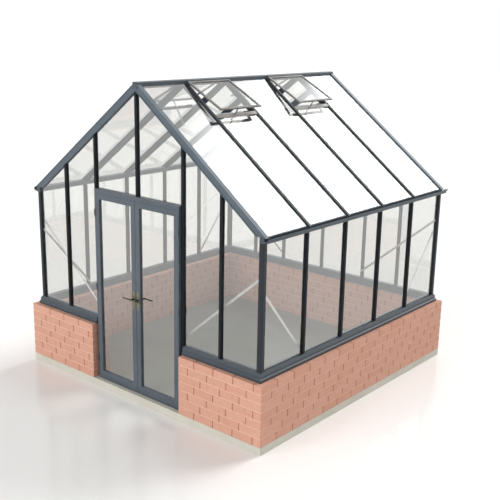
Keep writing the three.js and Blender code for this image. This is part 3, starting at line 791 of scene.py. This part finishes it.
handle_z = (HANDLE_LOW[2] + HANDLE_HIGH[2]) / 2
for side, name in ((-1, "left"), (1, "right")):
    body = f"door_{name}"
    spindle_x = side * (LEAF_LOW[0] + STILE_W / 2)
    for face, outward, where in ((LEAF_LOW[1], -1, "front"), (LEAF_HIGH[1], 1, "back")):
        plate = slotted_plate(spindle_x, face, outward, handle_z - PLATE_DROP, SPINDLE_HOLE_R)
        piece(f"back_plate_{where}_{name}", plate, closed_loops(plate), aged_brass, body)
        place = [spindle_x, face + outward * LOCK_OUT, handle_z - LOCK_DROP]
        barrel = rounds(place, LOCK_R, LOCK_L, ALONG_Y)
        solids(f"lock_barrel_{where}_{name}", barrel, aged_brass, body)
    pin_x = side * (LEAF_HIGH[0] + KNUCKLE_R + CLEARANCE)
    pin_y = LEAF_LOW[1] - KNUCKLE_R - CLEARANCE
    pin_foot, pin_top = LEAF_LOW[2] + KNUCKLE_INSET, LEAF_HIGH[2] - KNUCKLE_INSET
    places = [[pin_x, pin_y, z] for z in (pin_foot, (LEAF_LOW[2] + LEAF_HIGH[2]) / 2, pin_top)]
    knuckles = rounds(places, KNUCKLE_R, KNUCKLE_L, UPRIGHT)
    solids(f"hinge_knuckles_{name}", knuckles, door_coat, "house")


# ---- Wall gaskets and small fixings -----------------------------------------------------------

gaskets = []
z_low, z_high = BAR_LOW[2], BAR_HIGH[2]
for sx in (-1, 1):
    x = sx * (SIDE_GLASS_FACE + GASKET_T / 2)
    for y in BAY_LINES:
        for edge in (-1, 1):
            centre = [x, y + edge * (BAR_W / 2 + GASKET_W / 2), (z_low + z_high) / 2]
            gaskets.append(blocks(centre, [GASKET_T, GASKET_W, z_high - z_low], UPRIGHT))
    for z in (z_low + GASKET_W / 2, z_high - GASKET_W / 2):
        gaskets.append(blocks([x, 0, z], [GASKET_T, 2 * SIDE_GLASS_END, GASKET_W], UPRIGHT))
solids("glazing_gaskets", np.concatenate(gaskets), black_rubber, "house")

last_screw_s = HALF_W / math.cos(PITCH) - LAST_SCREW_UP
screws = []
for sx in (-1, 1):
    roof = slope_axes(sx, PITCH)
    for y in BAY_LINES:
        for s in np.linspace(FIRST_SCREW_S, last_screw_s, SCREWS_PER_BAR):
            place = on_slope(sx, s, y, SCREW_LIFT)
            screws.append(rounds(place, SCREW_R, SCREW_H, roof, around=SCREW_POINTS))
solids("capping_screws", np.concatenate(screws), zinc_steel, "house")

outlet_y = (HALF_L + WALL_HIGH[1]) / 2 - OUTLET_BACK
outlet_l = WALL_HIGH[1] - HALF_L - OUTLET_SHORTER
places = [[sx * (EAVES_HIGH[0] - OUTLET_IN), outlet_y, EAVES_LOW[2] + OUTLET_UP] for sx in (-1, 1)]
outlets = rounds(places, OUTLET_R, outlet_l, ALONG_Y)
solids("gutter_outlets", outlets, anthracite_coat, "house")


# ---- Studio -----------------------------------------------------------------------------------

FLOOR_COLOUR = "FAF9F7"
FLOOR_IOR = 1.4
FLOOR_CLOUD_MM = 1000 / 3
FLOOR_ROUGHNESS = (0.10, 0.16)
FLOOR_REACH = 60.0
FLOOR_Z = -0.001

WHITE = linear("FFFFFF")
SEEN_WHITE = 1.0  # strength of the room behind the house
EVEN_LIGHT = 0.53  # and of its light on surfaces
BOX_MIDDLE = (0.03, 0.80, 0.60)  # direction of the soft box that gloss mirrors
BOX_FADE = (0.86, 0.94)  # its round edge, as a cosine
BOX_SIDE = (-0.659, -0.554, 0.511)  # direction square to its straight edge
SIDE_FADE = (0.03, -0.04)
BOX_POWER = (1.15, 4.4)  # mirrored strength beside it and in it

KEY_LIGHT = ("key_from_behind", (0.12, 0.74, 0.66), 2.3, 32)
FILL_LIGHT = ("fill_from_the_left", (-0.25, -0.93, 0.28), 1.6, 40)

CAMERA_PLACE = Vector((5.940, -6.911, 3.754))
CAMERA_YAW = math.radians(-40.136)
CAMERA_PITCH = math.radians(-15.202)
CAMERA_ROLL = math.radians(1.167)
CAMERA_LENS = 60.72
CAMERA_FAR = 200.0

scene = bpy.context.scene
scene.view_settings.view_transform = "Standard"

floor_finish, floor_tree = new_material("pale_sealed_studio_floor")
floor_place = add(floor_tree, "TexCoord").outputs["Object"]
floor_cloud = noise(floor_tree, floor_place, FLOOR_CLOUD_MM, detail=3.0)
floor_inputs = {
    "Base Color": linear(FLOOR_COLOUR),
    "Roughness": remap(floor_tree, floor_cloud, (0.0, 1.0), FLOOR_ROUGHNESS),
    "IOR": FLOOR_IOR,
}
floor_shader = add(floor_tree, "BsdfPrincipled", floor_inputs).outputs["BSDF"]
add(floor_tree, "OutputMaterial", {"Surface": floor_shader})
floor_mesh = bpy.data.meshes.new("studio_floor")
floor_signs = ((-1, -1), (1, -1), (1, 1), (-1, 1))
floor_corners = [(x * FLOOR_REACH, y * FLOOR_REACH, FLOOR_Z) for x, y in floor_signs]
floor_mesh.from_pydata(floor_corners, [], [(0, 1, 2, 3)])
floor_mesh.materials.append(floor_finish)
floor = bpy.data.objects.new("studio_floor", floor_mesh)
scene.collection.objects.link(floor)

# White room: even light for surfaces, and one large soft box behind the house that gloss mirrors.
world = bpy.data.worlds.new("white_studio")
scene.world = world
world.use_nodes = True
sky = world.node_tree
sky.nodes.clear()
way = add(sky, "TexCoord").outputs["Generated"]


def faded(direction, fade):
    """Share from 0 to 1 that grows across a fade as a ray turns towards a direction, or away."""
    along = add(sky, "VectorMath", {0: way, 1: direction}, operation="DOT_PRODUCT").outputs["Value"]
    return remap(sky, along, fade, interpolation_type="SMOOTHSTEP")


def background(strength):
    """White light of a strength."""
    return add(sky, "Background", {"Color": WHITE, "Strength": strength}).outputs["Background"]


box_share = maths(sky, "MULTIPLY", faded(BOX_MIDDLE, BOX_FADE), faded(BOX_SIDE, SIDE_FADE))
even, plain = background(EVEN_LIGHT), background(SEEN_WHITE)
mirrored = background(remap(sky, box_share, (0.0, 1.0), BOX_POWER))
ray = add(sky, "LightPath").outputs
unseen = add(sky, "MixShader", {0: ray["Is Glossy Ray"], 1: even, 2: mirrored}).outputs["Shader"]
room_light = add(sky, "MixShader", {0: ray["Is Camera Ray"], 1: unseen, 2: plain}).outputs["Shader"]
add(sky, "OutputWorld", {"Surface": room_light})


def soft_sun(name, toward_light, strength, spread_degrees):
    """A broad, even lamp seen from the given direction, left out of mirror reflections."""
    data = bpy.data.lights.new(name, "SUN")
    data.energy = strength
    data.angle = math.radians(spread_degrees)
    lamp = bpy.data.objects.new(name, data)
    lamp.rotation_euler = Vector(toward_light).to_track_quat("Z", "Y").to_euler()
    lamp.visible_glossy = False
    scene.collection.objects.link(lamp)


soft_sun(*KEY_LIGHT)
soft_sun(*FILL_LIGHT)

look = Vector(
    (
        math.sin(CAMERA_YAW) * math.cos(CAMERA_PITCH),
        math.cos(CAMERA_YAW) * math.cos(CAMERA_PITCH),
        math.sin(CAMERA_PITCH),
    )
)
level_right = Vector((math.cos(CAMERA_YAW), -math.sin(CAMERA_YAW), 0))
level_up = level_right.cross(look)
camera_right = level_right * math.cos(CAMERA_ROLL) + level_up * math.sin(CAMERA_ROLL)
camera_up = level_up * math.cos(CAMERA_ROLL) - level_right * math.sin(CAMERA_ROLL)
camera_data = bpy.data.cameras.new("camera")
camera_data.lens = CAMERA_LENS
camera_data.clip_end = CAMERA_FAR
camera = bpy.data.objects.new("camera", camera_data)
turned = Matrix((camera_right, camera_up, -look)).transposed().to_4x4()
camera.matrix_world = Matrix.Translation(CAMERA_PLACE) @ turned
scene.collection.objects.link(camera)
scene.camera = camera
